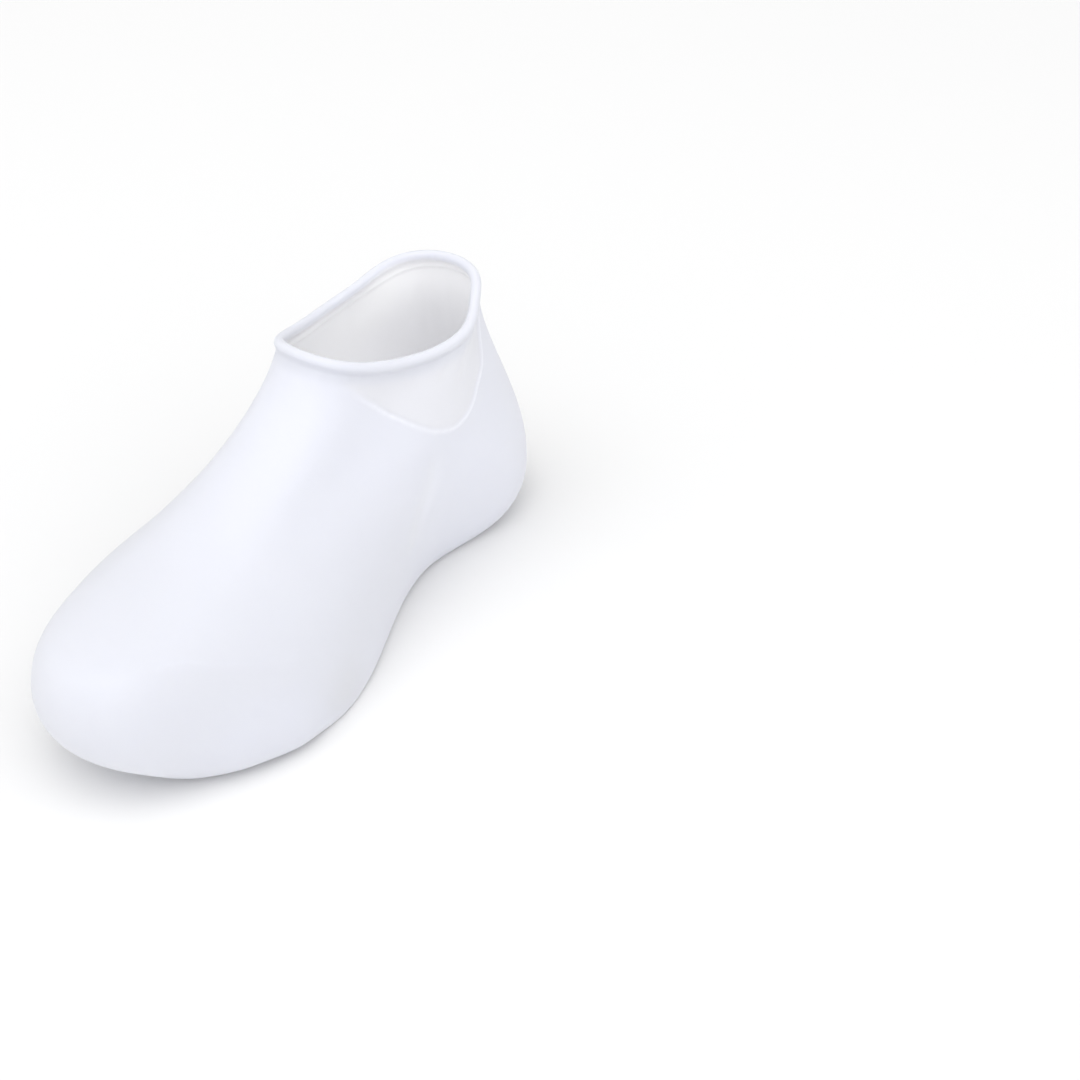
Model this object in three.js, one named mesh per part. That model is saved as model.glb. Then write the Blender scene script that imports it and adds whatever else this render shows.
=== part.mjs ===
// Overshoe: a soft one-piece shoe cover moulded in white silicone, for the wearer's right foot.
// Millimetres, +Z up. The toe points to -Y, the inner (arch) side of the foot is +X, and the flat
// sole lies on Z = 0. The origin is on the floor, under the middle of the overall box.
//
// The skin is one closed wall. Rings run round the foot, from the edge of the sole up to the rim.
// Ribs run up the wall: rib 0 over the middle of the toe, rib HEEL_RIB over the middle of the heel,
// those between on the inner side, and the rest, back to the toe, on the outer side.

import * as THREE from 'three';

// Overall sizes, outside
const LENGTH = 280;           // back of the heel to the tip of the toe
const FOREFOOT_WIDTH = 108;   // across the ball of the foot
const WAIST_WIDTH = 78;       // across the arch
const HEEL_WIDTH = 82;
const TOE_HEIGHT = 63;        // floor to the top of the toe box, where the instep starts
const TOE_INSET = 4.6;        // how far the toe leans to the inner side

// Collar and its opening
const COLLAR_FRONT_HEIGHT = 129;   // floor to the top of the rim, at the instep
const COLLAR_SIDE_HEIGHT = 117;    // at the ankle bones
const COLLAR_BACK_HEIGHT = 127;    // at the tendon
const OPENING_LENGTH = 102;
const OPENING_WIDTH = 61;
const OPENING_SETBACK = 31.5;      // back of the heel to the back of the opening

// Wall and rim
const WALL = 1.8;
const SOLE = 3.0;
const SOLE_RINGS = 2;         // rings over which the sole thins to the wall
const BEAD_DIAMETER = 4.6;    // rolled rim
const BEAD_NECK = 1.2;        // wall left between the rim and its blend into the wall
const PANEL_DEPTH = 0.6;      // recess of the thin panel over each ankle bone
const PANEL_LIP = 4;          // width of the slope at the panel's edge

// Where a ring is ball, waist and heel, as shares of the ring's own length from its front end
const STATIONS = { ball: 0.283, waist: 0.677, heel: 0.758 };
// How blunt the ends of a ring are: 1 is an ellipse, and less is squarer
const TOE_ROUNDNESS = 0.755;
const HEEL_ROUNDNESS = 0.805;

// Rings of the foot, from the edge of the sole to the top of the toe box.
// front and back are shares of LENGTH from the tip of the toe, the heights are shares of
// TOE_HEIGHT at the toe, the side and the heel, and the widths are shares of half the named
// width, on the inner and the outer side.
const RING_COLUMNS = [
  'front', 'back', 'toeHeight', 'sideHeight', 'heelHeight',
  'ballIn', 'ballOut', 'waistIn', 'waistOut', 'heelIn', 'heelOut'];
const FOOT_RINGS = [
  [0.115, 0.920, 0, 0, 0, 0.92, 0.78, 0.46, 0.84, 0.60, 0.70],
  [0.057, 0.985, 0.17, 0.09, 0.145, 1.00, 0.93, 0.60, 1.04, 0.86, 0.90],
  [0.005, 1.000, 0.44, 0.41, 0.38, 0.96, 1.00, 0.74, 1.14, 1.00, 1.00],
  [0.015, 0.990, 0.81, 0.73, 0.67, 0.82, 0.93, 0.88, 1.11, 1.00, 0.98],
  [0.083, 0.967, 1.00, 0.965, 0.97, 0.67, 0.74, 0.94, 1.02, 0.92, 0.89],
];

// Rings of the ankle, from the toe box to the rim.
// front, back and the heights say how far the ring has gone from the last ring of the foot (0)
// to the rim (1). The widths are shares of half the opening's width.
const ANKLE_RINGS = [
  [0.32, 0.38, 0.145, 0.305, 0.295, 0.98, 1.06, 1.19, 1.20, 1.10, 1.08],
  [0.60, 0.70, 0.37, 0.54, 0.555, 0.88, 0.93, 1.15, 1.11, 0.99, 0.99],
  [0.80, 0.86, 0.59, 0.74, 0.76, 0.85, 0.87, 1.11, 1.06, 0.89, 0.97],
  [0.94, 0.90, 0.81, 0.89, 0.90, 0.85, 0.87, 1.08, 1.01, 0.86, 0.99],
  [1, 1, 1, 1, 1, 0.88, 0.85, 1.04, 0.965, 0.875, 1.02],
];

// Lower edge of the ankle panel, from the front of the rim to its back: rib and ring numbers on
// the inner side. The outer side has the same panel, mirrored.
const PANEL_COLUMNS = ['rib', 'ring'];
const PANEL_EDGE = [
  [1.15, 9], [1.45, 8.5], [2.5, 7.5], [3.8, 6.25], [4.55, 5.3],
  [5.1, 4.92], [5.5, 5.25], [5.95, 5.95], [6.35, 6.9], [6.5, 8], [6.55, 9],
];

// Fineness of the faceted skin
const RIBS = 16;
const HEEL_RIB = RIBS / 2;
const COLUMNS_ROUND = 64;
const OUTER_ROWS = 30;
const INNER_ROWS = 24;
const BEAD_STEPS = 9;
const BEAD_START = THREE.MathUtils.degToRad(-50);   // where the rim leaves the outside of the wall
const SOLVE_PASSES = 30;
const SMALL_STEP = 0.01;      // in rings and ribs, for directions on the skin
const EDGE_STEPS = 4;         // steps between two places of the panel's edge

const beadRadius = BEAD_DIAMETER / 2;
const { lerp, smoothstep: smooth } = THREE.MathUtils;

// Named rows of a table
function rows(columns, table) {
  return table.map((row) => Object.fromEntries(columns.map((name, i) => [name, row[i]])));
}

// The parabola through a value at the toe (0), at the side (0.5) and at the heel (1)
function toeSideHeel(s, toe, side, heel) {
  return toe * (1 - s) * (1 - 2 * s) + side * 4 * s * (1 - s) + heel * s * (2 * s - 1);
}

// How much of its full width a ring has at share s of its length
function endRounding(s) {
  return (4 * s * (1 - s)) ** (lerp(TOE_ROUNDNESS, HEEL_ROUNDNESS, s) / 2);
}

// Half width of a ring at share s, on the side whose three half widths are given
function halfWidth(s, ball, waist, heel) {
  const full = (width, station) => width / endRounding(station);
  const toWaist = smooth(s, STATIONS.ball, STATIONS.waist);
  const toHeel = smooth(s, STATIONS.waist, STATIONS.heel);
  const front = lerp(full(ball, STATIONS.ball), full(waist, STATIONS.waist), toWaist);
  return endRounding(s) * lerp(front, full(heel, STATIONS.heel), toHeel);
}

// Every ring in millimetres, y running from the tip of the toe
function ringSizes() {
  const foot = rows(RING_COLUMNS, FOOT_RINGS).map((ring) => ({
    front: ring.front * LENGTH,
    back: ring.back * LENGTH,
    toeHeight: ring.toeHeight * TOE_HEIGHT,
    sideHeight: ring.sideHeight * TOE_HEIGHT,
    heelHeight: ring.heelHeight * TOE_HEIGHT,
    ballIn: ring.ballIn * FOREFOOT_WIDTH / 2,
    ballOut: ring.ballOut * FOREFOOT_WIDTH / 2,
    waistIn: ring.waistIn * WAIST_WIDTH / 2,
    waistOut: ring.waistOut * WAIST_WIDTH / 2,
    heelIn: ring.heelIn * HEEL_WIDTH / 2,
    heelOut: ring.heelOut * HEEL_WIDTH / 2,
  }));
  const top = foot[foot.length - 1];
  const openingBack = LENGTH - OPENING_SETBACK;
  const ankle = rows(RING_COLUMNS, ANKLE_RINGS).map((ring) => {
    const sizes = {
      front: lerp(top.front, openingBack - OPENING_LENGTH, ring.front),
      back: lerp(top.back, openingBack, ring.back),
      toeHeight: lerp(top.toeHeight, COLLAR_FRONT_HEIGHT - beadRadius, ring.toeHeight),
      sideHeight: lerp(top.sideHeight, COLLAR_SIDE_HEIGHT - beadRadius, ring.sideHeight),
      heelHeight: lerp(top.heelHeight, COLLAR_BACK_HEIGHT - beadRadius, ring.heelHeight),
    };
    for (const name of ['ballIn', 'ballOut', 'waistIn', 'waistOut', 'heelIn', 'heelOut']) {
      sizes[name] = ring[name] * OPENING_WIDTH / 2;
    }
    return sizes;
  });
  return [...foot, ...ankle];
}

// Points where the ribs cross one ring; upShare is 0 at the sole and 1 at the rim
function ringPoints(ring, upShare) {
  return Array.from({ length: RIBS }, (_, rib) => {
    const inner = rib <= HEEL_RIB;
    const round = (inner ? rib : RIBS - rib) / HEEL_RIB;
    const s = (1 - Math.cos(Math.PI * round)) / 2;
    const half = inner
      ? halfWidth(s, ring.ballIn, ring.waistIn, ring.heelIn)
      : -halfWidth(s, ring.ballOut, ring.waistOut, ring.heelOut);
    return new THREE.Vector3(
      half + TOE_INSET * (1 - s) ** 2 * (1 - upShare),
      lerp(ring.front, ring.back, s),
      toeSideHeel(s, ring.toeHeight, ring.sideHeight, ring.heelHeight));
  });
}

// Weights of the four controls round a place between two knots of a smooth cubic spline
function splineWeights(t) {
  return [(1 - t) ** 3, 3 * t ** 3 - 6 * t ** 2 + 4, -3 * t ** 3 + 3 * t ** 2 + 3 * t + 1, t ** 3]
    .map((weight) => weight / 6);
}

// Controls of the spline that passes through the points. neighbours(controls) gives the list
// with one more control before it and one after it.
function controlsThrough(points, neighbours) {
  const controls = points.map((point) => point.clone());
  for (let pass = 0; pass < SOLVE_PASSES; pass += 1) {
    const around = neighbours(controls);
    const misses = points.map((point, i) => point.clone().sub(
      around[i].clone().addScaledVector(around[i + 1], 4).add(around[i + 2]).divideScalar(6)));
    controls.forEach((control, i) => control.add(misses[i]));
  }
  return controls;
}

const closedRing = (controls) => [controls[controls.length - 1], ...controls, controls[0]];

// A rib leaves the sole level, and ends straight at the rim
function openRib(controls) {
  const [first, second] = controls;
  const [beforeLast, last] = controls.slice(-2);
  const below = first.clone().multiplyScalar(2).sub(second);
  below.z = second.z;
  return [below, ...controls, last.clone().multiplyScalar(2).sub(beforeLast)];
}

// Controls of the whole skin, as ribs of openRib controls
function skinControls() {
  const rings = ringSizes();
  const alongRings = rings.map((ring, i) => controlsThrough(
    ringPoints(ring, i / (rings.length - 1)), closedRing));
  return Array.from({ length: RIBS }, (_, rib) => openRib(
    controlsThrough(alongRings.map((ring) => ring[rib]), openRib)));
}

const controls = skinControls();
const RIM = FOOT_RINGS.length + ANKLE_RINGS.length - 1;   // number of the last ring

// A point of the plain outer skin at a rib and ring, which need not be whole numbers
function plainSkin(rib, ring) {
  const ribBelow = Math.floor(rib);
  const ringBelow = Math.min(Math.max(Math.floor(ring), 0), RIM - 1);
  const acrossWeights = splineWeights(rib - ribBelow);
  const upWeights = splineWeights(ring - ringBelow);
  const point = new THREE.Vector3();
  acrossWeights.forEach((across, i) => {
    const column = controls[(ribBelow - 1 + i + RIBS) % RIBS];
    upWeights.forEach((up, j) => point.addScaledVector(column[ringBelow + j], across * up));
  });
  return point;
}

// Point, unit direction up the rib, outward normal and height of one ring step, on the plain skin
function skinFrame(rib, ring) {
  const point = plainSkin(rib, ring);
  const low = Math.max(ring - SMALL_STEP, 0);
  const high = Math.min(ring + SMALL_STEP, RIM);
  const rise = plainSkin(rib, high).sub(plainSkin(rib, low)).divideScalar(high - low);
  const round = plainSkin(rib + SMALL_STEP, ring).sub(plainSkin(rib - SMALL_STEP, ring));
  const normal = round.cross(rise).normalize();
  return { point, up: rise.clone().normalize(), normal, ringStep: rise.length() };
}

// The edge of the ankle panels as a line on the skin, for both sides
function panelLines() {
  const table = rows(PANEL_COLUMNS, PANEL_EDGE);
  const line = new THREE.CatmullRomCurve3(
    table.map((place) => new THREE.Vector3(place.rib, place.ring, 0)), false, 'catmullrom');
  const places = line.getPoints(table.length * EDGE_STEPS);
  return [1, -1].map((side) => {
    const corners = places.map((place) => ({ rib: place.x, ring: Math.min(place.y, RIM) }));
    const onSkin = corners.map(({ rib, ring }) => plainSkin((side * rib + RIBS) % RIBS, ring));
    return { side, corners, onSkin };
  });
}

const panels = panelLines();

// Whether a place of the skin is above a panel's edge, by crossing its closed outline
function insidePanel(panel, rib, ring) {
  const ribOnSide = panel.side > 0 ? rib : RIBS - rib;
  const outline = panel.corners;
  let inside = false;
  outline.forEach((a, i) => {
    const b = outline[(i + 1) % outline.length];
    if ((a.rib > ribOnSide) !== (b.rib > ribOnSide)) {
      const crossing = a.ring + (ribOnSide - a.rib) / (b.rib - a.rib) * (b.ring - a.ring);
      if (ring > crossing) inside = !inside;
    }
  });
  return inside || (ring >= RIM && ribOnSide > outline[0].rib && ribOnSide < outline.at(-1).rib);
}

// Depth of the panel's recess at a place of the skin
function panelRecess(rib, ring, point) {
  let depth = 0;
  for (const panel of panels) {
    if (insidePanel(panel, rib, ring)) {
      const toEdge = Math.min(...panel.onSkin.map((edge) => edge.distanceTo(point)));
      depth = Math.max(depth, PANEL_DEPTH * smooth(toEdge, 0, PANEL_LIP));
    }
  }
  return depth;
}

// Thickness of the wall: the sole's at the floor, thinning to the wall's
const wallAt = (ring) => lerp(SOLE, WALL, smooth(ring, 0, SOLE_RINGS));

// One column of the skin: up the outside, over the rim, down the inside
function skinColumn(rib) {
  const rim = skinFrame(rib, RIM);
  const neck = beadRadius * Math.sin(-BEAD_START) + BEAD_NECK;
  const top = RIM - neck / rim.ringStep;
  const beadCentre = rim.point.clone().addScaledVector(rim.normal, -WALL / 2);

  const outside = Array.from({ length: OUTER_ROWS + 1 }, (_, i) => {
    const ring = top * i / OUTER_ROWS;
    const { point, normal } = skinFrame(rib, ring);
    return point.addScaledVector(normal, -panelRecess(rib, ring, point));
  });
  const over = Array.from({ length: BEAD_STEPS + 1 }, (_, i) => {
    const angle = lerp(BEAD_START, Math.PI - BEAD_START, i / BEAD_STEPS);
    return beadCentre.clone()
      .addScaledVector(rim.normal, beadRadius * Math.cos(angle))
      .addScaledVector(rim.up, beadRadius * Math.sin(angle));
  });
  const inside = Array.from({ length: INNER_ROWS + 1 }, (_, i) => {
    const ring = top * (1 - i / INNER_ROWS);
    const { point, normal } = skinFrame(rib, ring);
    return point.addScaledVector(normal, -wallAt(ring));
  });
  outside[0].z = 0;
  inside.at(-1).z = SOLE;
  return [...outside, ...over, ...inside];
}

// Triangles that close a level ring of columns with straight strips from side to side
function soleTriangles(vertexAt, facesDown) {
  const half = COLUMNS_ROUND / 2;
  const triangles = [[vertexAt(0), vertexAt(COLUMNS_ROUND - 1), vertexAt(1)]];
  for (let j = 1; j < half - 1; j += 1) {
    const [inner, nextInner] = [vertexAt(j), vertexAt(j + 1)];
    const [outer, nextOuter] = [vertexAt(COLUMNS_ROUND - j), vertexAt(COLUMNS_ROUND - j - 1)];
    triangles.push([inner, outer, nextOuter], [inner, nextOuter, nextInner]);
  }
  triangles.push([vertexAt(half - 1), vertexAt(half + 1), vertexAt(half)]);
  return facesDown ? triangles : triangles.map(([a, b, c]) => [a, c, b]);
}

// The closed wall as one indexed geometry
function overshoeGeometry() {
  const columns = Array.from({ length: COLUMNS_ROUND }, (_, j) => skinColumn(j * RIBS / COLUMNS_ROUND));
  const height = columns[0].length;
  const vertexAt = (j, i) => (j % COLUMNS_ROUND) * height + i;
  const triangles = [];
  for (let j = 0; j < COLUMNS_ROUND; j += 1) {
    for (let i = 0; i < height - 1; i += 1) {
      const [a, b] = [vertexAt(j, i), vertexAt(j + 1, i)];
      const [c, d] = [vertexAt(j + 1, i + 1), vertexAt(j, i + 1)];
      triangles.push([a, b, c], [a, c, d]);
    }
  }
  triangles.push(...soleTriangles((j) => vertexAt(j, 0), true));
  triangles.push(...soleTriangles((j) => vertexAt(j, height - 1), false));

  const geometry = new THREE.BufferGeometry();
  geometry.setFromPoints(columns.flat());
  geometry.setIndex(triangles.flat());
  geometry.computeBoundingBox();
  const middle = geometry.boundingBox.getCenter(new THREE.Vector3());
  geometry.translate(-middle.x, -middle.y, 0);
  geometry.computeVertexNormals();
  return geometry;
}

// White silicone with a faint cold cast and a soft satin shine
const silicone = new THREE.MeshStandardMaterial({ color: 0xeff1f8, roughness: 0.42, metalness: 0 });

const overshoe = new THREE.Mesh(overshoeGeometry(), silicone);
overshoe.name = 'overshoe_body';

const part = new THREE.Group();
part.name = 'overshoe';
part.add(overshoe);

export default part;
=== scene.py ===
"""Overshoe: a soft one-piece shoe cover moulded in white silicone, for the wearer's right foot.

Metres, +Z up. The toe points to -Y, the inner (arch) side of the foot is +X, and the sole lies on
Z = 0. Rings run round the foot from the edge of the sole up to the rim. Ribs run up the wall: rib 0
over the middle of the toe, rib HEEL_RIB over the middle of the heel, those between on the inner
side, and the rest on the outer side.
"""

import math

import bpy
import numpy as np
from bpy.props import FloatProperty, FloatVectorProperty, IntProperty, PointerProperty
from mathutils import Matrix, Vector


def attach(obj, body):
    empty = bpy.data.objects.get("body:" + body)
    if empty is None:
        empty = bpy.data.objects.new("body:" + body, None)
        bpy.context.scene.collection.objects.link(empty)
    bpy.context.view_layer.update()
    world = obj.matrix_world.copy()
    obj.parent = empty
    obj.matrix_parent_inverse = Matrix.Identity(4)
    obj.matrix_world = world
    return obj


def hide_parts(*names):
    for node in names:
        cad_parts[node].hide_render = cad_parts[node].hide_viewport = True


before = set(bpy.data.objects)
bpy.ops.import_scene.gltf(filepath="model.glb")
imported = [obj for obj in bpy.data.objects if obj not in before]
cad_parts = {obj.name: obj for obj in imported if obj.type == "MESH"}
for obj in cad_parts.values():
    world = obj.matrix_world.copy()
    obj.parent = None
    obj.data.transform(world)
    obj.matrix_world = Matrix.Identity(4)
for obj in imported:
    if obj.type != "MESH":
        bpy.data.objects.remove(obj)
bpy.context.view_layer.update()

bl_info = {
    "name": "Overshoe",
    "version": (1, 0, 0),
    "blender": (4, 5, 0),
    "location": "3D View > Sidebar > Overshoe",
    "description": "Builds a moulded silicone overshoe with its rolled rim and ankle panels",
    "category": "Add Mesh",
}

CAD_NODE = "overshoe_body"
MM = 0.001

# Ribs round the foot, and where a ring is ball, waist and heel as shares of its own length
RIBS = 16
HEEL_RIB = RIBS // 2
BALL_AT, WAIST_AT, HEEL_AT = 0.283, 0.677, 0.758

# Rings of the foot, from the edge of the sole to the top of the toe box. front and back are shares
# of the length from the tip of the toe, the heights are shares of the toe height at the toe, the
# side and the heel, and the widths are shares of half the named width, on the inner and outer side.
RING_COLUMNS = (
    "front", "back", "toe_height", "side_height", "heel_height",
    "ball_in", "ball_out", "waist_in", "waist_out", "heel_in", "heel_out",
)
FOOT_RINGS = (
    (0.115, 0.920, 0, 0, 0, 0.92, 0.78, 0.46, 0.84, 0.60, 0.70),
    (0.057, 0.985, 0.17, 0.09, 0.145, 1.00, 0.93, 0.60, 1.04, 0.86, 0.90),
    (0.005, 1.000, 0.44, 0.41, 0.38, 0.96, 1.00, 0.74, 1.14, 1.00, 1.00),
    (0.015, 0.990, 0.81, 0.73, 0.67, 0.82, 0.93, 0.88, 1.11, 1.00, 0.98),
    (0.083, 0.967, 1.00, 0.965, 0.97, 0.67, 0.74, 0.94, 1.02, 0.92, 0.89),
)

# Rings of the ankle, up to the rim. front, back and the heights say how far the ring has gone from
# the last ring of the foot (0) to the rim (1). The widths are shares of half the opening's width.
ANKLE_RINGS = (
    (0.32, 0.38, 0.145, 0.305, 0.295, 0.98, 1.06, 1.19, 1.20, 1.10, 1.08),
    (0.60, 0.70, 0.37, 0.54, 0.555, 0.88, 0.93, 1.15, 1.11, 0.99, 0.99),
    (0.80, 0.86, 0.59, 0.74, 0.76, 0.85, 0.87, 1.11, 1.06, 0.89, 0.97),
    (0.94, 0.90, 0.81, 0.89, 0.90, 0.85, 0.87, 1.08, 1.01, 0.86, 0.99),
    (1, 1, 1, 1, 1, 0.88, 0.85, 1.04, 0.965, 0.875, 1.02),
)
RIM = len(FOOT_RINGS) + len(ANKLE_RINGS) - 1

# Passes that settle the controls of the splines, and the part of a rib or ring used for a slope
SOLVE_PASSES = 30
SMALL_STEP = 0.01

# Rings over which the sole's thickness becomes the wall's, and those over which the relief and the
# panels come in above the sole's edge
SOLE_RINGS = 2
RELIEF_RINGS = 1

# Lower edge of the ankle panel from the front of the rim to its back, as (rib, ring) on the inner
# side. The outer side has the same panel, mirrored.
PANEL_EDGE = (
    (1.1, 9), (1.39, 8.3), (1.9, 8.0), (2.68, 7.45), (3.46, 6.67), (3.99, 6.03), (4.56, 5.32),
    (5.01, 4.97), (5.34, 5.05), (5.59, 5.43), (5.95, 5.85), (6.18, 6.7), (6.4, 7.8), (6.55, 9),
)
EDGE_POINTS = 160

# Ribs where the welt starts to rise out of the skin and where it is full. The panel's edge starts
# to sharpen a number of ribs before that, and is sharp where the welt is full.
WELT_STARTS, WELT_FULL = 1.7, 3.4
EDGE_SHARPENS_BEFORE = 1

# Low relief of the skin: its course as (rib, ring), and its half width and rise in millimetres.
# A negative rise is a hollow.
RELIEF = (
    # Fold down the inner side of the instep
    {"course": ((4.7, 4.3), (4.65, 3.6), (4.58, 3.1), (4.58, 2.4)), "half_width": 5, "rise": -0.8},
    # Fine ridge over the toe, with a shallow hollow below it
    {"course": ((1.3, 3.65), (1.7, 3.53), (2.03, 3.25), (2.35, 3.0), (2.88, 2.62)),
     "half_width": 1.6, "rise": 0.25},
    {"course": ((1.5, 3.3), (2.0, 2.95), (2.4, 2.65)), "half_width": 6, "rise": -0.15},
    # Two soft creases in the ankle panel
    {"course": ((5.15, 8.5), (5.03, 7.8), (5.02, 7.1), (4.92, 6.4)),
     "half_width": 1.8, "rise": -0.35},
    {"course": ((4.55, 8.6), (4.4, 7.9), (4.25, 7.3)), "half_width": 2.2, "rise": -0.25},
    # Fullness of the sole's edge beside the toe, and a wide shallow hollow below the ball
    {"course": ((2.0, 1.1), (2.4, 1)), "half_width": 16, "rise": 2.8},
    {"course": ((2.95, 0.95), (3.15, 1)), "half_width": 16, "rise": -1.4},
)
COURSE_POINTS = 60

# Angles over the rolled rim, counted from its outer side: where it leaves the wall, and between
# which angles the rim's painted shade ends and the painted light of the inside starts
BEAD_START = math.radians(-42)
RIM_SHADE_ENDS = (math.radians(80), math.radians(160))
INSIDE_LIGHT_STARTS = (math.radians(140), math.radians(215))

# Attributes of the skin, each 0 to 1 at a point of the mesh, that its material reads
# Mask of the painted shade on the thin ankle panels
PANEL_SHADE_ATTRIBUTE = "panel_shade"
# Mask of the painted highlight along the welt
WELT_HIGHLIGHT_ATTRIBUTE = "welt"
# Mask of the painted shade on the rim's outer side and the painted shadow below it
RIM_SHADE_ATTRIBUTE = "rim"
# Mask of the painted light on the inner face
INSIDE_LIGHT_ATTRIBUTE = "inside"

# Numbers of the colour sockets of a Mix node, whose sockets of other kinds have the same names
MIX_FIRST, MIX_SECOND, MIX_RESULT = 6, 7, 2

# Red, green and blue light go equally far in the white rubber
EVEN_SCATTER = (1.0, 1.0, 1.0)
WHITE = (1.0, 1.0, 1.0, 1.0)

# Side of the square picture in pixels, and width of the camera's sensor in millimetres
PICTURE = 1080
SENSOR = 36.0


def size(label, about, millimetres):
    """A length property in metres whose default is given in millimetres."""
    return FloatProperty(
        name=label, description=about, default=millimetres * MM, unit="LENGTH", precision=4)


def number(label, about, value, **more):
    """A plain number, or one of the unit named in more."""
    return FloatProperty(name=label, description=about, default=value, **more)


def count(label, about, value):
    """A whole number."""
    return IntProperty(name=label, description=about, default=value)


def colour(label, about, rgb):
    """A colour."""
    return FloatVectorProperty(name=label, description=about, subtype="COLOR", default=rgb)


def location(label, about, metres):
    """A place in the scene."""
    return FloatVectorProperty(
        name=label, description=about, subtype="TRANSLATION", unit="LENGTH", default=metres)


class OvershoeForm(bpy.types.PropertyGroup):
    """Sizes of the moulding"""

    length: size("Length", "Back of the heel to the tip of the toe", 280)
    forefoot_width: size("Forefoot width", "Across the ball of the foot", 108)
    waist_width: size("Waist width", "Across the arch", 78)
    heel_width: size("Heel width", "Across the heel", 82)
    toe_height: size("Toe height", "Floor to the top of the toe box", 63)
    toe_inset: size("Toe inset", "How far the toe leans to the inner side", 4.6)
    toe_roundness: number("Toe roundness", "1 is an ellipse, and less is squarer", 0.755)
    heel_roundness: number("Heel roundness", "1 is an ellipse, and less is squarer", 0.805)
    collar_front: size("Collar front", "Floor to the top of the rim at the instep", 129)
    collar_side: size("Collar side", "Floor to the top of the rim at the ankle bones", 117)
    collar_back: size("Collar back", "Floor to the top of the rim at the tendon", 127)
    opening_length: size("Opening length", "Front to back of the opening", 102)
    opening_width: size("Opening width", "Side to side of the opening", 61)
    opening_setback: size(
        "Opening setback", "Back of the heel to the back of the opening", 31.5)
    wall: size("Wall", "Thickness of the wall", 1.8)
    sole: size("Sole", "Thickness of the sole", 3)
    bead: size("Rim bead", "Diameter of the rolled rim", 4.6)
    bead_neck: size("Rim neck", "Blend between the wall and the rolled rim", 2.2)
    # Reach of the painted shadow below the rim
    rim_shadow_reach: size("Rim fade", "How far down from the rim its deeper tone reaches", 9)
    panel_depth: size("Panel depth", "Recess of the thin ankle panels", 0.6)
    panel_lip: size("Panel lip", "Width of the slope at a panel's edge", 2)
    panel_fade: size(
        "Panel fade", "Width of that slope at the front, where the edge dissolves", 6)
    welt_width: size("Welt width", "Half width of the fine welt along a panel's edge", 0.8)
    welt_rise: size("Welt rise", "How far the welt stands out", 0.45)
    inner_lip_drop: size(
        "Inner lip drop", "Rim's middle to the fine lip inside the collar", 5.2)
    inner_lip_width: size(
        "Inner lip width", "Half width of the fine lip inside the collar", 0.8)
    inner_lip_rise: size("Inner lip rise", "How far the fine lip stands out", 0.5)
    columns: count("Columns", "Mesh columns round the foot", 320)
    outer_rows: count("Outer rows", "Mesh rows up the outside", 190)
    inner_rows: count("Inner rows", "Mesh rows down the inside", 76)
    neck_rows: count("Neck rows", "Mesh rows of the rim's blend", 6)
    bead_rows: count("Bead rows", "Mesh rows over the rolled rim", 22)
    outer_crowding: number(
        "Outer crowding", "Above 1 the outer rows crowd towards the rim", 1.2)
    inner_crowding: number(
        "Inner crowding", "Above 1 the inner rows crowd towards the rim", 2.0)


class OvershoeFinish(bpy.types.PropertyGroup):
    """Colours and finish of the silicone, with its painted shade, highlight and light"""

    skin_colour: colour("Skin", "Thick white silicone", (0.66, 0.67, 0.725))
    cloud_colour: colour("Clouding", "Faint uneven tone of the moulding", (0.64, 0.65, 0.705))
    # Painted shade: the panels are greyer for the shaded inside seen through the thinner rubber
    panel_shade_colour: colour("Panel", "Thin silicone of the ankle panels", (0.645, 0.65, 0.69))
    # Painted highlight: the welt is paler for the light that catches the edge of a panel
    welt_highlight_colour: colour(
        "Welt", "Thickest silicone, along the edge of a panel", (0.725, 0.735, 0.79))
    # Painted shade on the outer side of the rolled rim, and a painted shadow below it
    rim_shade_colour: colour("Rim", "Outer side of the rolled rim", (0.62, 0.63, 0.68))
    # Painted light: the inner face is much paler, for the light in the collar
    inside_light_colour: colour("Inside", "Unpolished inner face", (0.89, 0.89, 0.915))
    roughness_low: number("Shiniest", "Roughness where the skin is smoothest", 0.46)
    roughness_high: number("Dullest", "Roughness where the skin is dullest", 0.6)
    roughness_detail: number("Dullness detail", "Levels of detail in that change", 4.0)
    refraction: number("Refractive index", "Of silicone rubber", 1.41)
    gloss: number("Gloss", "Strength of the surface reflection", 0.06)
    scatter: number("Scatter", "Share of light scattered in the rubber", 1)
    scatter_depth: size("Scatter depth", "How far light travels in the rubber", 4)
    cloud_size: size("Cloud size", "Width of the faint tonal clouds", 45)
    ripple_size: size("Ripple size", "Width of the slight waviness of the skin", 16)
    ripple_depth: size("Ripple depth", "Height of the slight waviness", 0.12)
    grain_size: size("Grain size", "Width of the fine mould grain", 0.7)
    grain_depth: size("Grain depth", "Height of the fine mould grain", 0.02)


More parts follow.
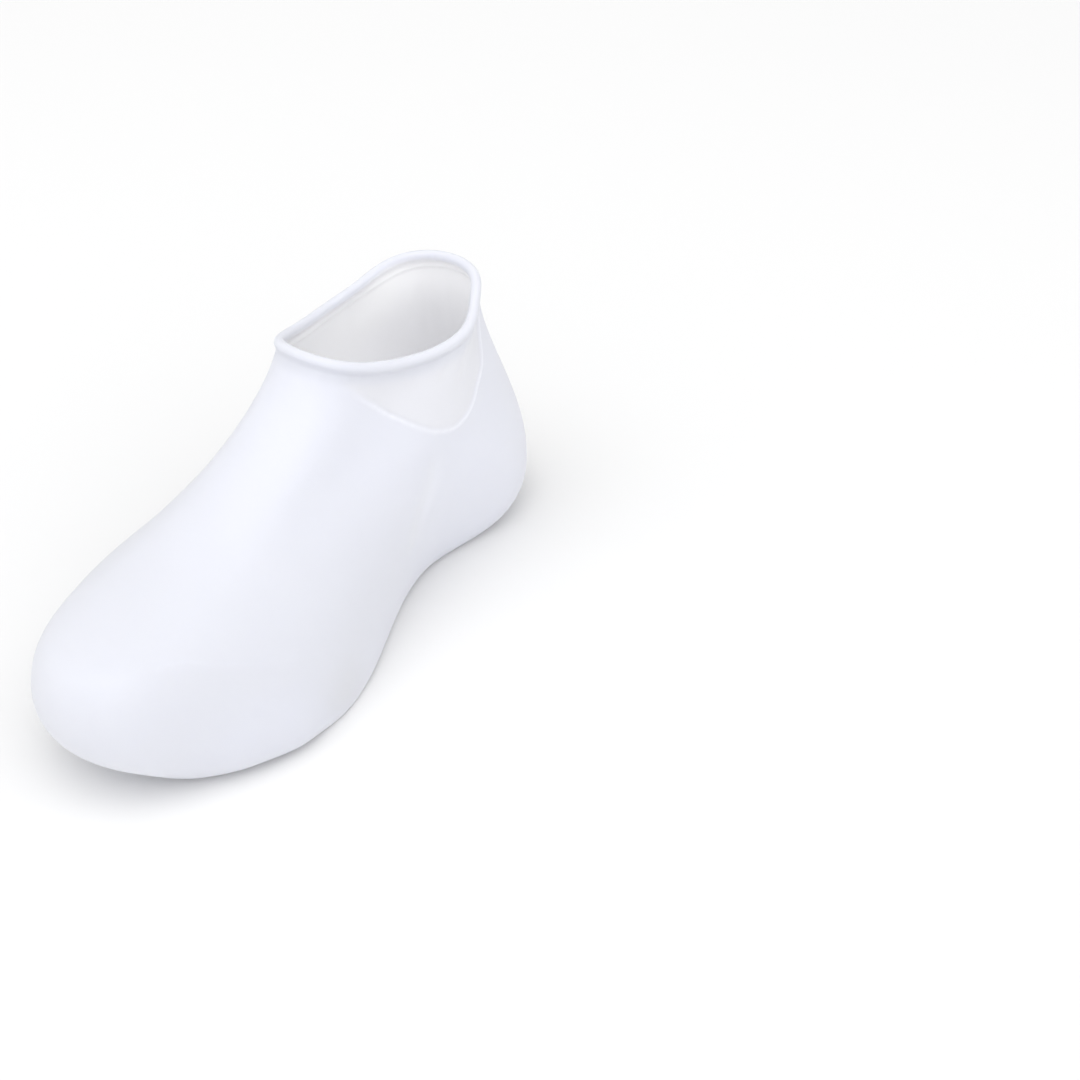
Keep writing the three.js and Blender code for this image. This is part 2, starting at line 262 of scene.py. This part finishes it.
class OvershoeStage(bpy.types.PropertyGroup):
    """Floor, light and camera"""

    floor_colour: colour("Floor", "Plain pale floor", (0.79, 0.79, 0.79))
    floor_roughness: number("Floor roughness", "How dull the floor is", 0.9)
    floor_size: size("Floor size", "Side of the square floor", 12000)
    sky_dim: number("Dim sky", "Strength of the sky on its dimmest side", 0.18)
    sky_bright: number("Bright sky", "Strength of the sky on its brightest side", 1.47)
    sky_start: number(
        "Sky start", "Where it starts to brighten, from -1 opposite the bright side to 1", -0.5)
    sky_way: FloatVectorProperty(
        name="Bright side", description="Way to the brightest side of the sky",
        subtype="DIRECTION", default=(0.46, -0.56, 0.69))
    top_power: number("Top light", "Power of the overhead softbox", 13, unit="POWER")
    top_size: size("Top size", "Side of the overhead softbox", 4000)
    top_place: location("Top place", "Where the overhead softbox hangs", (0, 0, 2.5))
    key_power: number("Key light", "Power of the softbox above the toe", 4.5, unit="POWER")
    key_size: size("Key size", "Side of the softbox above the toe", 1200)
    key_place: location("Key place", "Where the softbox above the toe hangs", (0.1, -0.45, 1.5))
    light_target: location("Light target", "Where both softboxes point", (0, 0, 0.05))
    glow_power: number(
        "Glow", "Power of the light that soaks through the wall into the collar", 0.015,
        unit="POWER", precision=4)
    glow_drop: size("Glow drop", "Side of the rim to the glow in the collar", 58)
    glow_radius: size("Glow radius", "Radius of the glow in the collar", 15.25)
    azimuth: number(
        "Azimuth", "Camera's turn from the toe to the inner side", math.radians(35.47),
        unit="ROTATION")
    elevation: number(
        "Elevation", "Camera's angle above the floor", math.radians(36.4), unit="ROTATION")
    depth: size("Depth", "Camera to the middle of the sole, along the view", 874)
    lens: number("Lens", "Focal length in millimetres on a 36 mm sensor", 68.06)
    picture_x: number(
        "Picture X", "Middle of the sole, pixels from the left of a 1080 pixel picture", 311.9)
    picture_y: number(
        "Picture Y", "Middle of the sole, pixels from the top of a 1080 pixel picture", 616.8)


def mix(a, b, share):
    """The value a share of the way from a to b."""
    return a + (b - a) * share


def smooth(x, low, high):
    """0 below low, 1 above high, and an even S between them."""
    t = np.clip((x - low) / (high - low), 0, 1)
    return t * t * (3 - 2 * t)


def bell(away, half_width):
    """1 in the middle, falling off to either side like a bell."""
    return np.exp(-((away / half_width) ** 2))


def unit(vectors):
    """The vectors at length 1."""
    return vectors / np.linalg.norm(vectors, axis=-1, keepdims=True)


def ring_sizes(form):
    """Every ring in metres as a dict of columns, y running from the tip of the toe."""
    widths = {"ball": form.forefoot_width, "waist": form.waist_width, "heel": form.heel_width}
    foot = dict(zip(RING_COLUMNS, np.array(FOOT_RINGS, float).T))
    ankle = dict(zip(RING_COLUMNS, np.array(ANKLE_RINGS, float).T))
    opening_back = form.length - form.opening_setback
    radius = form.bead / 2
    at_rim = {
        "front": opening_back - form.opening_length,
        "back": opening_back,
        "toe_height": form.collar_front - radius,
        "side_height": form.collar_side - radius,
        "heel_height": form.collar_back - radius,
    }
    rings = {}
    for name in RING_COLUMNS:
        if name in at_rim:
            scale = form.length if name in ("front", "back") else form.toe_height
            low = foot[name] * scale
            high = mix(low[-1], at_rim[name], ankle[name])
        else:
            low = foot[name] * widths[name.split("_")[0]] / 2
            high = ankle[name] * form.opening_width / 2
        rings[name] = np.concatenate([low, high])
    return rings


def rib_points(form):
    """Points where the ribs cross the rings, as [ring, rib, xyz]."""
    rings = {name: values[:, None] for name, values in ring_sizes(form).items()}
    rib = np.arange(RIBS)
    inner = rib <= HEEL_RIB
    round_share = np.where(inner, rib, RIBS - rib) / HEEL_RIB
    s = (1 - np.cos(np.pi * round_share)) / 2

    def end_rounding(share):
        power = mix(form.toe_roundness, form.heel_roundness, share) / 2
        return np.maximum(4 * share * (1 - share), 0) ** power

    def half_width(side):
        full = {
            part: rings[f"{part}_{side}"] / end_rounding(at)
            for part, at in (("ball", BALL_AT), ("waist", WAIST_AT), ("heel", HEEL_AT))
        }
        front = mix(full["ball"], full["waist"], smooth(s, BALL_AT, WAIST_AT))
        return end_rounding(s) * mix(front, full["heel"], smooth(s, WAIST_AT, HEEL_AT))

    up_share = (np.arange(RIM + 1) / RIM)[:, None]
    x = np.where(inner, half_width("in"), -half_width("out"))
    x = x + form.toe_inset * (1 - s) ** 2 * (1 - up_share)
    y = mix(rings["front"], rings["back"], s)
    z = (
        rings["toe_height"] * (1 - s) * (1 - 2 * s)
        + rings["side_height"] * 4 * s * (1 - s)
        + rings["heel_height"] * s * (2 * s - 1)
    )
    return np.stack([x, y, z], axis=-1)


def open_ribs(controls):
    """Controls with one more at each end: ribs leave the sole level and end straight at the rim."""
    below = 2 * controls[:1] - controls[1:2]
    below[..., 2] = controls[1:2, ..., 2]
    return np.concatenate([below, controls, 2 * controls[-1:] - controls[-2:-1]])


def skin_controls(form):
    """Controls of the cubic splines through the rib points, with open_ribs at their ends."""
    points = rib_points(form)
    controls = points.copy()
    for _ in range(SOLVE_PASSES):
        beside = np.roll(controls, 1, 1) + 4 * controls + np.roll(controls, -1, 1)
        controls += points - beside / 6
    points = controls.copy()
    for _ in range(SOLVE_PASSES):
        around = open_ribs(controls)
        controls = controls + points - (around[:-2] + 4 * around[1:-1] + around[2:]) / 6
    return open_ribs(controls)


def spline_weights(t):
    """Weights of the four controls round a place between two knots."""
    return np.array([
        (1 - t) ** 3,
        3 * t**3 - 6 * t**2 + 4,
        -3 * t**3 + 3 * t**2 + 3 * t + 1,
        t**3,
    ]) / 6


def plain_skin(controls, rib, ring):
    """Points of the plain outer skin at arrays of rib and ring."""
    rib_below = np.floor(rib).astype(int)
    ring_below = np.clip(np.floor(ring).astype(int), 0, RIM - 1)
    across = spline_weights(rib - rib_below)
    upward = spline_weights(ring - ring_below)
    points = 0
    for i in range(4):
        for j in range(4):
            corner = controls[ring_below + j, (rib_below - 1 + i) % RIBS]
            points = points + (across[i] * upward[j])[..., None] * corner
    return points


def skin_frame(controls, rib, ring):
    """Point, direction up the rib, outward normal and height of a ring step, on the plain skin."""
    low = np.maximum(ring - SMALL_STEP, 0)
    high = np.minimum(ring + SMALL_STEP, RIM)
    rise = plain_skin(controls, rib, high) - plain_skin(controls, rib, low)
    rise = rise / (high - low)[..., None]
    ahead = plain_skin(controls, rib + SMALL_STEP, ring)
    turn = ahead - plain_skin(controls, rib - SMALL_STEP, ring)
    step = np.linalg.norm(rise, axis=-1)
    return plain_skin(controls, rib, ring), unit(rise), unit(np.cross(turn, rise)), step


def curve_through(places, points):
    """A Catmull-Rom curve through (rib, ring) places, as a number of points."""
    places = np.array(places, float)
    before_first = 2 * places[:1] - places[1:2]
    after_last = 2 * places[-1:] - places[-2:-1]
    padded = np.concatenate([before_first, places, after_last])
    t = np.linspace(0, len(places) - 1, points)
    at = np.minimum(t.astype(int), len(places) - 2)
    t = (t - at)[:, None]
    before, start, end, after = (padded[at + i] for i in range(4))
    return 0.5 * (
        2 * start
        + (end - before) * t
        + (2 * before - 5 * start + 4 * end - after) * t**2
        + (3 * start - before - 3 * end + after) * t**3
    )


def nearest(points, line):
    """Distance of each point to the closest point of a line."""
    flat = points.reshape(-1, 3)
    best = np.full(len(flat), np.inf)
    for place in line:
        best = np.minimum(best, ((flat - place) ** 2).sum(1))
    return np.sqrt(best).reshape(points.shape[:-1])


def ankle_panels(form, controls, rib, ring, points):
    """Share of the ankle panels and height of the welt along their edge, for every point.

    The share is 1 on a panel, 0 off it, and slopes between. The welt fades out at the front.
    """
    edge = curve_through(PANEL_EDGE, EDGE_POINTS)
    edge[:, 1] = np.minimum(edge[:, 1], RIM)
    share = np.zeros(points.shape[:-1])
    welt = np.zeros(points.shape[:-1])
    for outer_side in (False, True):
        on_side = RIBS - rib if outer_side else rib
        panel_floor = np.interp(on_side, edge[:, 0], edge[:, 1], left=RIM + 1, right=RIM + 1)
        line_rib = (RIBS - edge[:, 0]) % RIBS if outer_side else edge[:, 0]
        away = nearest(points, plain_skin(controls, line_rib, edge[:, 1]))
        sharpness = smooth(on_side, WELT_STARTS - EDGE_SHARPENS_BEFORE, WELT_FULL)
        slope = away / mix(form.panel_fade, form.panel_lip, sharpness)
        share = np.maximum(share, np.where(ring > panel_floor, smooth(slope, 0, 1), 0))
        height = form.welt_rise * bell(away, form.welt_width)
        welt = np.maximum(welt, height * smooth(on_side, WELT_STARTS, WELT_FULL))
    return share, welt


def relief_height(controls, points):
    """How far the low relief raises the skin."""
    height = np.zeros(points.shape[:-1])
    for relief in RELIEF:
        course = curve_through(relief["course"], COURSE_POINTS)
        away = nearest(points, plain_skin(controls, course[:, 0], course[:, 1]))
        height += relief["rise"] * MM * bell(away, relief["half_width"] * MM)
    return height


def neck_rows(form, start, end):
    """Rows of a smooth blend between the ends of two sections, without those ends.

    start holds the last two rows of the first section, and end the first two of the second.
    """
    start_way = unit(start[1] - start[0])
    end_way = unit(end[1] - end[0])
    t = (np.arange(1, form.neck_rows) / form.neck_rows)[:, None, None]
    reach = np.linalg.norm(end[0] - start[1], axis=-1, keepdims=True)
    return (
        (2 * t**3 - 3 * t**2 + 1) * start[1]
        + (t**3 - 2 * t**2 + t) * reach * start_way
        + (3 * t**2 - 2 * t**3) * end[0]
        + (t**3 - t**2) * reach * end_way
    )


def skin_rows(form):
    """Rows of the closed skin from the sole's edge, up the outside, over the rim and down inside.

    Gives the points as [row, column, xyz], and for each a share of every attribute of the skin.
    """
    controls = skin_controls(form)
    rib = np.arange(form.columns) * RIBS / form.columns
    at_rim = np.full(form.columns, float(RIM))
    rim_point, rim_up, rim_out, step = skin_frame(controls, rib, at_rim)
    radius = form.bead / 2
    top = RIM - (radius * math.sin(-BEAD_START) + form.bead_neck) / step

    def wall_rows(rows, crowding):
        share = 1 - (1 - np.linspace(0, 1, rows + 1)) ** crowding
        ring = share[:, None] * top
        return np.broadcast_to(rib, ring.shape), ring

    wide, ring = wall_rows(form.outer_rows, form.outer_crowding)
    outside, _, normal, _ = skin_frame(controls, wide, ring)
    outside_drop = (RIM - ring) * step
    panel, welt = ankle_panels(form, controls, wide, ring, outside)
    raised = welt + relief_height(controls, outside) - panel * form.panel_depth
    raised *= smooth(ring, 0, RELIEF_RINGS)
    outside = outside + normal * raised[..., None]
    outside[0, :, 2] = 0

    bead_middle = rim_point - rim_out * form.wall / 2
    angle = np.linspace(BEAD_START, math.pi - BEAD_START, form.bead_rows + 1)[:, None, None]
    over = bead_middle + radius * (np.cos(angle) * rim_out + np.sin(angle) * rim_up)

    wide, ring = wall_rows(form.inner_rows, form.inner_crowding)
    wall, _, normal, _ = skin_frame(controls, wide, ring)
    thick = mix(form.sole, form.wall, smooth(ring, 0, SOLE_RINGS))
    inside_drop = (RIM - ring) * step
    lip = bell(inside_drop - form.inner_lip_drop, form.inner_lip_width)
    thick = thick + form.inner_lip_rise * lip
    inside = (wall - normal * thick[..., None])[::-1]
    inside[-1, :, 2] = form.sole

    outer_neck = neck_rows(form, outside[-2:], over[:2])
    inner_neck = neck_rows(form, over[-2:], inside[:2])
    sections = [outside, outer_neck, over, inner_neck, inside]
    none = [np.zeros(section.shape[:2]) for section in sections]
    over_angle = none[2] + angle[:, 0]
    # Painted shadow below the rim and painted shade on the outer side of the bead
    rim_shadow_on_wall = 1 - smooth(outside_drop, form.bead, form.rim_shadow_reach)
    rim_shade_on_bead = 1 - smooth(over_angle, *RIM_SHADE_ENDS)
    # Painted light from the top of the bead down the inside
    inside_light_on_bead = smooth(over_angle, *INSIDE_LIGHT_STARTS)
    shares = {
        PANEL_SHADE_ATTRIBUTE: [panel, *none[1:]],
        WELT_HIGHLIGHT_ATTRIBUTE: [welt / form.welt_rise, *none[1:]],
        RIM_SHADE_ATTRIBUTE: [rim_shadow_on_wall, 1 + none[1], rim_shade_on_bead, *none[3:]],
        INSIDE_LIGHT_ATTRIBUTE: [*none[:2], inside_light_on_bead, 1 + none[3], 1 + none[4]],
    }
    joined = {name: np.concatenate(parts) for name, parts in shares.items()}
    return np.concatenate(sections), joined


def sole_faces(columns, first, faces_down):
    """Strips from side to side that close a level ring of vertices starting at number first."""
    half = columns // 2
    faces = [(0, columns - 1, 1)]
    faces += [(j, columns - j, columns - j - 1, j + 1) for j in range(1, half - 1)]
    faces += [(half - 1, half + 1, half)]
    faces = [tuple(first + j for j in face) for face in faces]
    return faces if faces_down else [face[::-1] for face in faces]


def wall_faces(rows, columns):
    """Quads between the rows, all the way round."""
    faces = []
    for row in range(rows - 1):
        base = row * columns
        for column in range(columns):
            beside = (column + 1) % columns
            faces.append((
                base + column, base + beside, base + columns + beside, base + columns + column))
    return faces


def skin_mesh(form):
    """The closed skin as a Blender mesh with its attributes, its middle over the origin."""
    points, shares = skin_rows(form)
    rows, columns = points.shape[:2]
    low = points.reshape(-1, 3).min(0)
    high = points.reshape(-1, 3).max(0)
    middle = (low + high) / 2
    points = points - np.array([middle[0], middle[1], 0])
    faces = wall_faces(rows, columns)
    faces += sole_faces(columns, 0, True)
    faces += sole_faces(columns, (rows - 1) * columns, False)
    mesh = bpy.data.meshes.new("overshoe_skin")
    mesh.from_pydata(points.reshape(-1, 3).tolist(), [], faces)
    mesh.validate()
    mesh.shade_smooth()
    for name, values in shares.items():
        layer = mesh.attributes.new(name, "FLOAT", "POINT")
        layer.data.foreach_set("value", values.astype(np.float32).ravel())
    return mesh


class NodeBoard:
    """A material's nodes, made and joined in a few words."""

    def __init__(self, name):
        self.material = bpy.data.materials.new(name)
        self.material.use_nodes = True
        self.tree = self.material.node_tree
        self.shader = self.tree.nodes["Principled BSDF"]

    def add(self, kind, sockets):
        """A node of the kind, with its sockets set to a value or joined to another socket."""
        node = self.tree.nodes.new(kind)
        for label, value in sockets.items():
            self.join(value, node.inputs[label])
        return node

    def join(self, value, socket):
        """Sets a socket to a value, or links it to another socket."""
        if isinstance(value, bpy.types.NodeSocket):
            self.tree.links.new(value, socket)
        else:
            socket.default_value = value

    def noise(self, where, width, detail=2.0):
        """Noise whose features are about width metres across."""
        sockets = {"Vector": where, "Scale": 1 / width, "Detail": detail}
        return self.add("ShaderNodeTexNoise", sockets).outputs["Fac"]

    def share(self, name):
        """The value of an attribute of the mesh."""
        node = self.tree.nodes.new("ShaderNodeAttribute")
        node.attribute_name = name
        return node.outputs["Fac"]

    def blend(self, share, first, second):
        """A colour between two others."""
        node = self.tree.nodes.new("ShaderNodeMix")
        node.data_type = "RGBA"
        self.join(share, node.inputs["Factor"])
        self.join(first, node.inputs[MIX_FIRST])
        self.join(second, node.inputs[MIX_SECOND])
        return node.outputs[MIX_RESULT]

    def spread(self, value, low, high):
        """A value from 0 to 1 spread from low to high."""
        sockets = {"Value": value, "To Min": low, "To Max": high}
        return self.add("ShaderNodeMapRange", sockets).outputs["Result"]

    def bump(self, height, depth, below=None):
        """A normal raised by a height from 0 to 1, depth metres at its highest."""
        node = self.add("ShaderNodeBump", {"Height": height, "Distance": depth})
        if below is not None:
            self.join(below, node.inputs["Normal"])
        return node.outputs["Normal"]

    def finish(self, sockets):
        """The material, once the shader's sockets are set or joined."""
        for label, value in sockets.items():
            self.join(value, self.shader.inputs[label])
        return self.material


def opaque(rgb):
    """An RGBA colour from an RGB one."""
    return (*rgb, 1.0)


def white_silicone(finish):
    """White silicone: faintly clouded, satin, with a slight waviness and a fine mould grain."""
    board = NodeBoard("white_silicone")
    where = board.tree.nodes.new("ShaderNodeTexCoord").outputs["Object"]
    clouds = board.noise(where, finish.cloud_size)
    tone = board.blend(clouds, opaque(finish.skin_colour), opaque(finish.cloud_colour))
    # Painted shade on the panels and the rim, a painted highlight on the welt and painted light
    # inside, each laid over the tone where its attribute is 1
    for name, tint in (
        (PANEL_SHADE_ATTRIBUTE, finish.panel_shade_colour),
        (WELT_HIGHLIGHT_ATTRIBUTE, finish.welt_highlight_colour),
        (RIM_SHADE_ATTRIBUTE, finish.rim_shade_colour),
        (INSIDE_LIGHT_ATTRIBUTE, finish.inside_light_colour),
    ):
        tone = board.blend(board.share(name), tone, opaque(tint))
    dullness = board.noise(where, finish.ripple_size, detail=finish.roughness_detail)
    ripple = board.bump(board.noise(where, finish.ripple_size), finish.ripple_depth)
    grain = board.bump(board.noise(where, finish.grain_size), finish.grain_depth, below=ripple)
    return board.finish({
        "Base Color": tone,
        "Roughness": board.spread(dullness, finish.roughness_low, finish.roughness_high),
        "Normal": grain,
        "IOR": finish.refraction,
        "Specular IOR Level": finish.gloss,
        "Subsurface Weight": finish.scatter,
        "Subsurface Radius": EVEN_SCATTER,
        "Subsurface Scale": finish.scatter_depth,
    })


def place(name, data):
    """A new object in the scene."""
    made = bpy.data.objects.new(name, data)
    bpy.context.scene.collection.objects.link(made)
    return made


class OVERSHOE_OT_skin(bpy.types.Operator):
    """Build the moulded skin with its rim, sole and ankle panels"""

    bl_idname = "overshoe.skin"
    bl_label = "Moulded skin"

    def execute(self, context):
        skin = place("overshoe_skin", skin_mesh(context.scene.overshoe_form))
        skin.data.materials.append(white_silicone(context.scene.overshoe_finish))
        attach(skin, "root")
        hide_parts(CAD_NODE)
        return {"FINISHED"}


def pale_floor(stage):
    """The plain floor, a square round the origin."""
    half = stage.floor_size / 2
    mesh = bpy.data.meshes.new("floor")
    corners = [(-half, -half, 0), (half, -half, 0), (half, half, 0), (-half, half, 0)]
    mesh.from_pydata(corners, [], [(0, 1, 2, 3)])
    mesh.materials.append(NodeBoard("pale_floor").finish({
        "Base Color": opaque(stage.floor_colour),
        "Roughness": stage.floor_roughness,
    }))
    return place("floor", mesh)


def soft_sky(stage):
    """White light from all round, stronger on one side, that the camera sees as plain white."""
    world = bpy.data.worlds.new("soft_sky")
    world.use_nodes = True
    tree = world.node_tree
    way = tree.nodes.new("ShaderNodeTexCoord")
    towards = tree.nodes.new("ShaderNodeVectorMath")
    towards.operation = "DOT_PRODUCT"
    towards.inputs[1].default_value = Vector(stage.sky_way).normalized()
    strength = tree.nodes.new("ShaderNodeMapRange")
    strength.interpolation_type = "SMOOTHSTEP"
    strength.inputs["From Min"].default_value = stage.sky_start
    strength.inputs["To Min"].default_value = stage.sky_dim
    strength.inputs["To Max"].default_value = stage.sky_bright
    shown = tree.nodes.new("ShaderNodeMath")
    shown.operation = "MAXIMUM"
    seen = tree.nodes.new("ShaderNodeLightPath")
    sky = tree.nodes["Background"]
    sky.inputs["Color"].default_value = WHITE
    tree.links.new(way.outputs["Generated"], towards.inputs[0])
    tree.links.new(towards.outputs["Value"], strength.inputs["Value"])
    tree.links.new(strength.outputs["Result"], shown.inputs[0])
    tree.links.new(seen.outputs["Is Camera Ray"], shown.inputs[1])
    tree.links.new(shown.outputs["Value"], sky.inputs["Strength"])
    return world


def softbox(name, power, side, where, target):
    """A square soft light that points at a target."""
    light = bpy.data.lights.new(name, "AREA")
    light.energy = power
    light.shape = "SQUARE"
    light.size = side
    box = place(name, light)
    box.location = where
    way = Vector(target) - box.location
    box.rotation_euler = way.to_track_quat("-Z", "Y").to_euler()


def collar_glow(form, stage):
    """A faint light in the middle of the collar, for what soaks through the thin wall."""
    light = bpy.data.lights.new("collar_glow", "POINT")
    light.energy = stage.glow_power
    light.shadow_soft_size = stage.glow_radius
    opening_middle = form.length / 2 - form.opening_setback - form.opening_length / 2
    glow = place("collar_glow", light)
    glow.location = (0, opening_middle, form.collar_side - stage.glow_drop)
    glow.visible_camera = False


def photo_camera(stage):
    """The camera, so that the middle of the sole shows at the named place of the picture."""
    cos_a, sin_a = math.cos(stage.azimuth), math.sin(stage.azimuth)
    cos_e, sin_e = math.cos(stage.elevation), math.sin(stage.elevation)
    forward = Vector((-sin_a * cos_e, cos_a * cos_e, -sin_e))
    right = Vector((cos_a, sin_a, 0))
    up = right.cross(forward)
    metres_per_pixel = stage.depth * SENSOR / (stage.lens * PICTURE)
    aside = (stage.picture_x - PICTURE / 2) * metres_per_pixel
    above = (PICTURE / 2 - stage.picture_y) * metres_per_pixel
    camera = place("photo_camera", bpy.data.cameras.new("photo_camera"))
    camera.data.lens = stage.lens
    camera.data.sensor_width = SENSOR
    turn = Matrix((right, up, -forward)).transposed().to_4x4()
    where = -(aside * right + above * up + stage.depth * forward)
    camera.matrix_world = Matrix.Translation(where) @ turn
    bpy.context.scene.camera = camera


class OVERSHOE_OT_stage(bpy.types.Operator):
    """Set the pale floor, the soft light and the camera"""

    bl_idname = "overshoe.stage"
    bl_label = "Stage"

    def execute(self, context):
        stage = context.scene.overshoe_stage
        floor = pale_floor(stage)
        context.scene.world = soft_sky(stage)
        context.scene.view_settings.view_transform = "Standard"
        target = stage.light_target
        softbox("top_softbox", stage.top_power, stage.top_size, stage.top_place, target)
        softbox("key_softbox", stage.key_power, stage.key_size, stage.key_place, target)
        collar_glow(context.scene.overshoe_form, stage)
        photo_camera(stage)
        return {"FINISHED"}


class OVERSHOE_PT_builder(bpy.types.Panel):
    """Sizes, finish and operators of the overshoe"""

    bl_idname = "OVERSHOE_PT_builder"
    bl_label = "Overshoe"
    bl_space_type = "VIEW_3D"
    bl_region_type = "UI"
    bl_category = "Overshoe"

    def draw(self, context):
        for scene_name in GROUPS:
            group = getattr(context.scene, scene_name)
            box = self.layout.box()
            box.label(text=group.bl_rna.description)
            for name in group.__annotations__:
                box.prop(group, name)
        for operator in (OVERSHOE_OT_stage, OVERSHOE_OT_skin):
            self.layout.operator(operator.bl_idname)


GROUPS = {
    "overshoe_form": OvershoeForm,
    "overshoe_finish": OvershoeFinish,
    "overshoe_stage": OvershoeStage,
}
CLASSES = (*GROUPS.values(), OVERSHOE_OT_stage, OVERSHOE_OT_skin, OVERSHOE_PT_builder)


def register():
    """Adds the classes to Blender, and the groups of properties to its scenes."""
    for made in CLASSES:
        bpy.utils.register_class(made)
    for name, group in GROUPS.items():
        setattr(bpy.types.Scene, name, PointerProperty(type=group))


def unregister():
    """Takes away what register added."""
    for name in GROUPS:
        delattr(bpy.types.Scene, name)
    for made in reversed(CLASSES):
        bpy.utils.unregister_class(made)


def main():
    register()
    bpy.ops.overshoe.stage()
    bpy.ops.overshoe.skin()


if __name__ == "__main__":
    main()
